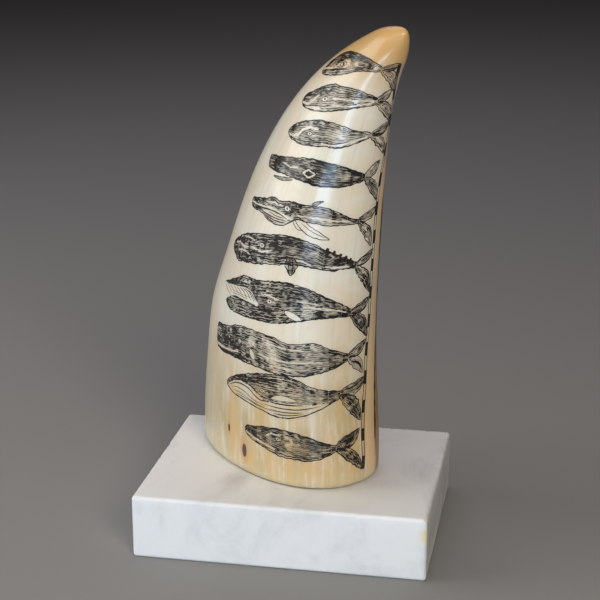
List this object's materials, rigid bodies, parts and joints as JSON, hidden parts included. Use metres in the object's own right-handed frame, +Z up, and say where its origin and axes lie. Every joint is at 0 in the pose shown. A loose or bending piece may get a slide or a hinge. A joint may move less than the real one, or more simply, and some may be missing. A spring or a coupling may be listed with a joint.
{
  "type": "scrimshaw whale tooth on a marble base",
  "caption": "Curved whale tooth engraved with a column of inked whales, standing upright on a rectangular white marble block.",
  "frame": {"origin": "centre of the marble block's underside", "axes": "+Z up, +X to the right along the block's long front edge, +Y from the block's front face to its back face"},
  "size_m": [0.1, 0.078, 0.1795],
  "materials": {
    "tooth_ivory": "gloss",
    "white_marble": "polished",
    "engraving_ink": "satin"
  },
  "bodies": {
    "root": {"whale_tooth": "tooth_ivory", "marble_base": "white_marble"}
  },
  "joints": []
}
